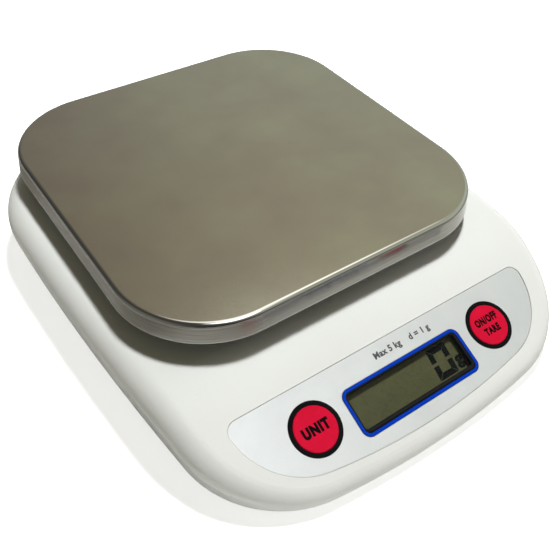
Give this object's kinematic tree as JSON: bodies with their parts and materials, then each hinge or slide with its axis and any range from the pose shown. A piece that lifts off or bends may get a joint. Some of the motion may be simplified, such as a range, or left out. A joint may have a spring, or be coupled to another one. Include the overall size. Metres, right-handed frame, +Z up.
{
  "type": "digital precision scale",
  "caption": "Flat digital bench scale: square steel pan on a load cell, soft-edged plastic housing, sloping panel with round keys and a liquid crystal display, battery bay below.",
  "frame": {"origin": "on the table, under the middle of the housing", "axes": "+X to the user's right, +Y away from the user, +Z up"},
  "size_m": [0.176, 0.208, 0.0425],
  "materials": {
    "upper_housing": "fine texture",
    "lower_housing": "fine texture",
    "rubber_feet": "matte",
    "housing_screws": "zinc plated",
    "pan": "satin top, polished skirt",
    "pan_pads": "matte",
    "platform_support": "moulded",
    "platform_screws": "zinc plated",
    "load_cell": "machined",
    "strain_gauges": "foil on film",
    "load_cell_base_spacer": "zinc plated",
    "load_cell_top_spacer": "zinc plated",
    "load_cell_screws": "zinc plated",
    "overload_stop_screw": "black steel",
    "load_cell_cable": "soft sheath",
    "panel_overlay": "silver film",
    "display_window": "clear with a printed border",
    "display_holder": "moulded",
    "display_glass": "liquid crystal, reflective",
    "contact_strips": "layered",
    "main_board": "solder mask",
    "board_screws": "zinc plated",
    "board_chip": "resin",
    "board_capacitors": "sleeved",
    "board_crystal": "bright can",
    "unit_key": "satin",
    "power_key": "satin",
    "unit_key_ring": "moulded",
    "power_key_ring": "moulded",
    "unit_key_switch": "moulded",
    "power_key_switch": "moulded",
    "unit_switch_stem": "moulded",
    "power_switch_stem": "moulded",
    "battery_cover": "fine texture",
    "battery_front": "plain sleeve",
    "battery_back": "plain sleeve",
    "battery_minus_contact": "nickel plated",
    "battery_plus_contact": "nickel plated",
    "battery_bridge_contact": "nickel plated",
    "battery_lead_red": "soft sheath",
    "battery_lead_black": "soft sheath"
  },
  "bodies": {
    "base": {"upper_housing": "upper_housing", "lower_housing": "lower_housing", "rubber_feet": "rubber_feet", "housing_screws": "housing_screws", "load_cell": "load_cell", "strain_gauges": "strain_gauges", "load_cell_base_spacer": "load_cell_base_spacer", "load_cell_screws": "load_cell_screws", "overload_stop_screw": "overload_stop_screw", "load_cell_cable": "load_cell_cable", "panel_overlay": "panel_overlay", "display_window": "display_window", "display_holder": "display_holder", "display_glass": "display_glass", "contact_strips": "contact_strips", "main_board": "main_board", "board_screws": "board_screws", "board_chip": "board_chip", "board_capacitors": "board_capacitors", "board_crystal": "board_crystal", "unit_key_ring": "unit_key_ring", "power_key_ring": "power_key_ring", "unit_key_switch": "unit_key_switch", "power_key_switch": "power_key_switch", "battery_front": "battery_front", "battery_back": "battery_back", "battery_minus_contact": "battery_minus_contact", "battery_plus_contact": "battery_plus_contact", "battery_bridge_contact": "battery_bridge_contact", "battery_lead_red": "battery_lead_red", "battery_lead_black": "battery_lead_black"},
    "carrier": {"platform_support": "platform_support", "pan_pads": "pan_pads", "platform_screws": "platform_screws", "load_cell_top_spacer": "load_cell_top_spacer"},
    "weighing_pan": {"pan": "pan"},
    "unit_button": {"unit_key": "unit_key", "unit_switch_stem": "unit_switch_stem"},
    "power_button": {"power_key": "power_key", "power_switch_stem": "power_switch_stem"},
    "cover": {"battery_cover": "battery_cover"}
  },
  "joints": [
    {"name": "load_cell_flex", "type": "slide", "parent": "base", "child": "carrier", "axis": [0, 0, -1], "range_m": [0, 0.0005], "stiffness_N_per_m": 100000, "deforming": ["load_cell"]},
    {"name": "pan_lift", "type": "slide", "parent": "carrier", "child": "weighing_pan", "axis": [0, 0, 1], "range_m": [0, 0.06]},
    {"name": "unit_key_press", "type": "slide", "parent": "base", "child": "unit_button", "axis": [0, 0.3875, -0.9219], "range_m": [0, 0.0004], "stiffness_N_per_m": 4000, "springref_m": -0.0001},
    {"name": "power_key_press", "type": "slide", "parent": "base", "child": "power_button", "axis": [0, 0.3875, -0.9219], "range_m": [0, 0.0004], "stiffness_N_per_m": 4000, "springref_m": -0.0001},
    {"name": "battery_cover_hinge", "type": "hinge", "parent": "base", "child": "cover", "pos_m": [0, -0.0592, 0.0012], "axis": [-1, 0, 0], "range_deg": [0, 85]}
  ]
}
